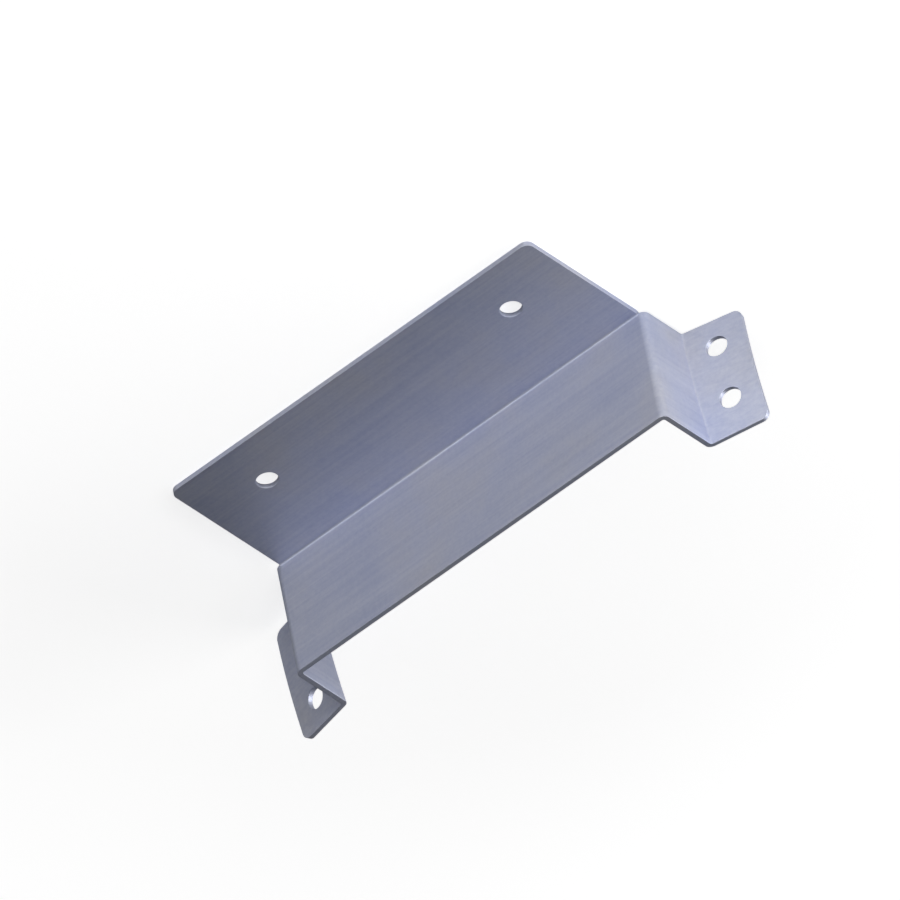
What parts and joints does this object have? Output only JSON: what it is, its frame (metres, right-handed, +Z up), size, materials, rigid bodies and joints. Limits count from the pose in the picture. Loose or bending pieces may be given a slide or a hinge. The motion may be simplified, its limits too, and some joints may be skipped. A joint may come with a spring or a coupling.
{
  "type": "support bracket",
  "caption": "Folded sheet-steel support bracket with a drilled base, an upright web, side flanges and swept feet that bolt to a curved body.",
  "frame": {"origin": "midway between the two base holes, on the underside of the base", "axes": "+X along the base, +Y from the base's free edge to the web and the feet, +Z up the web"},
  "size_m": [0.1714, 0.0716, 0.04],
  "materials": {
    "zinc_plated_steel": "satin zinc plating with a pale blue passivated film over rolled sheet"
  },
  "bodies": {
    "root": {"bracket": "zinc_plated_steel"}
  },
  "joints": []
}
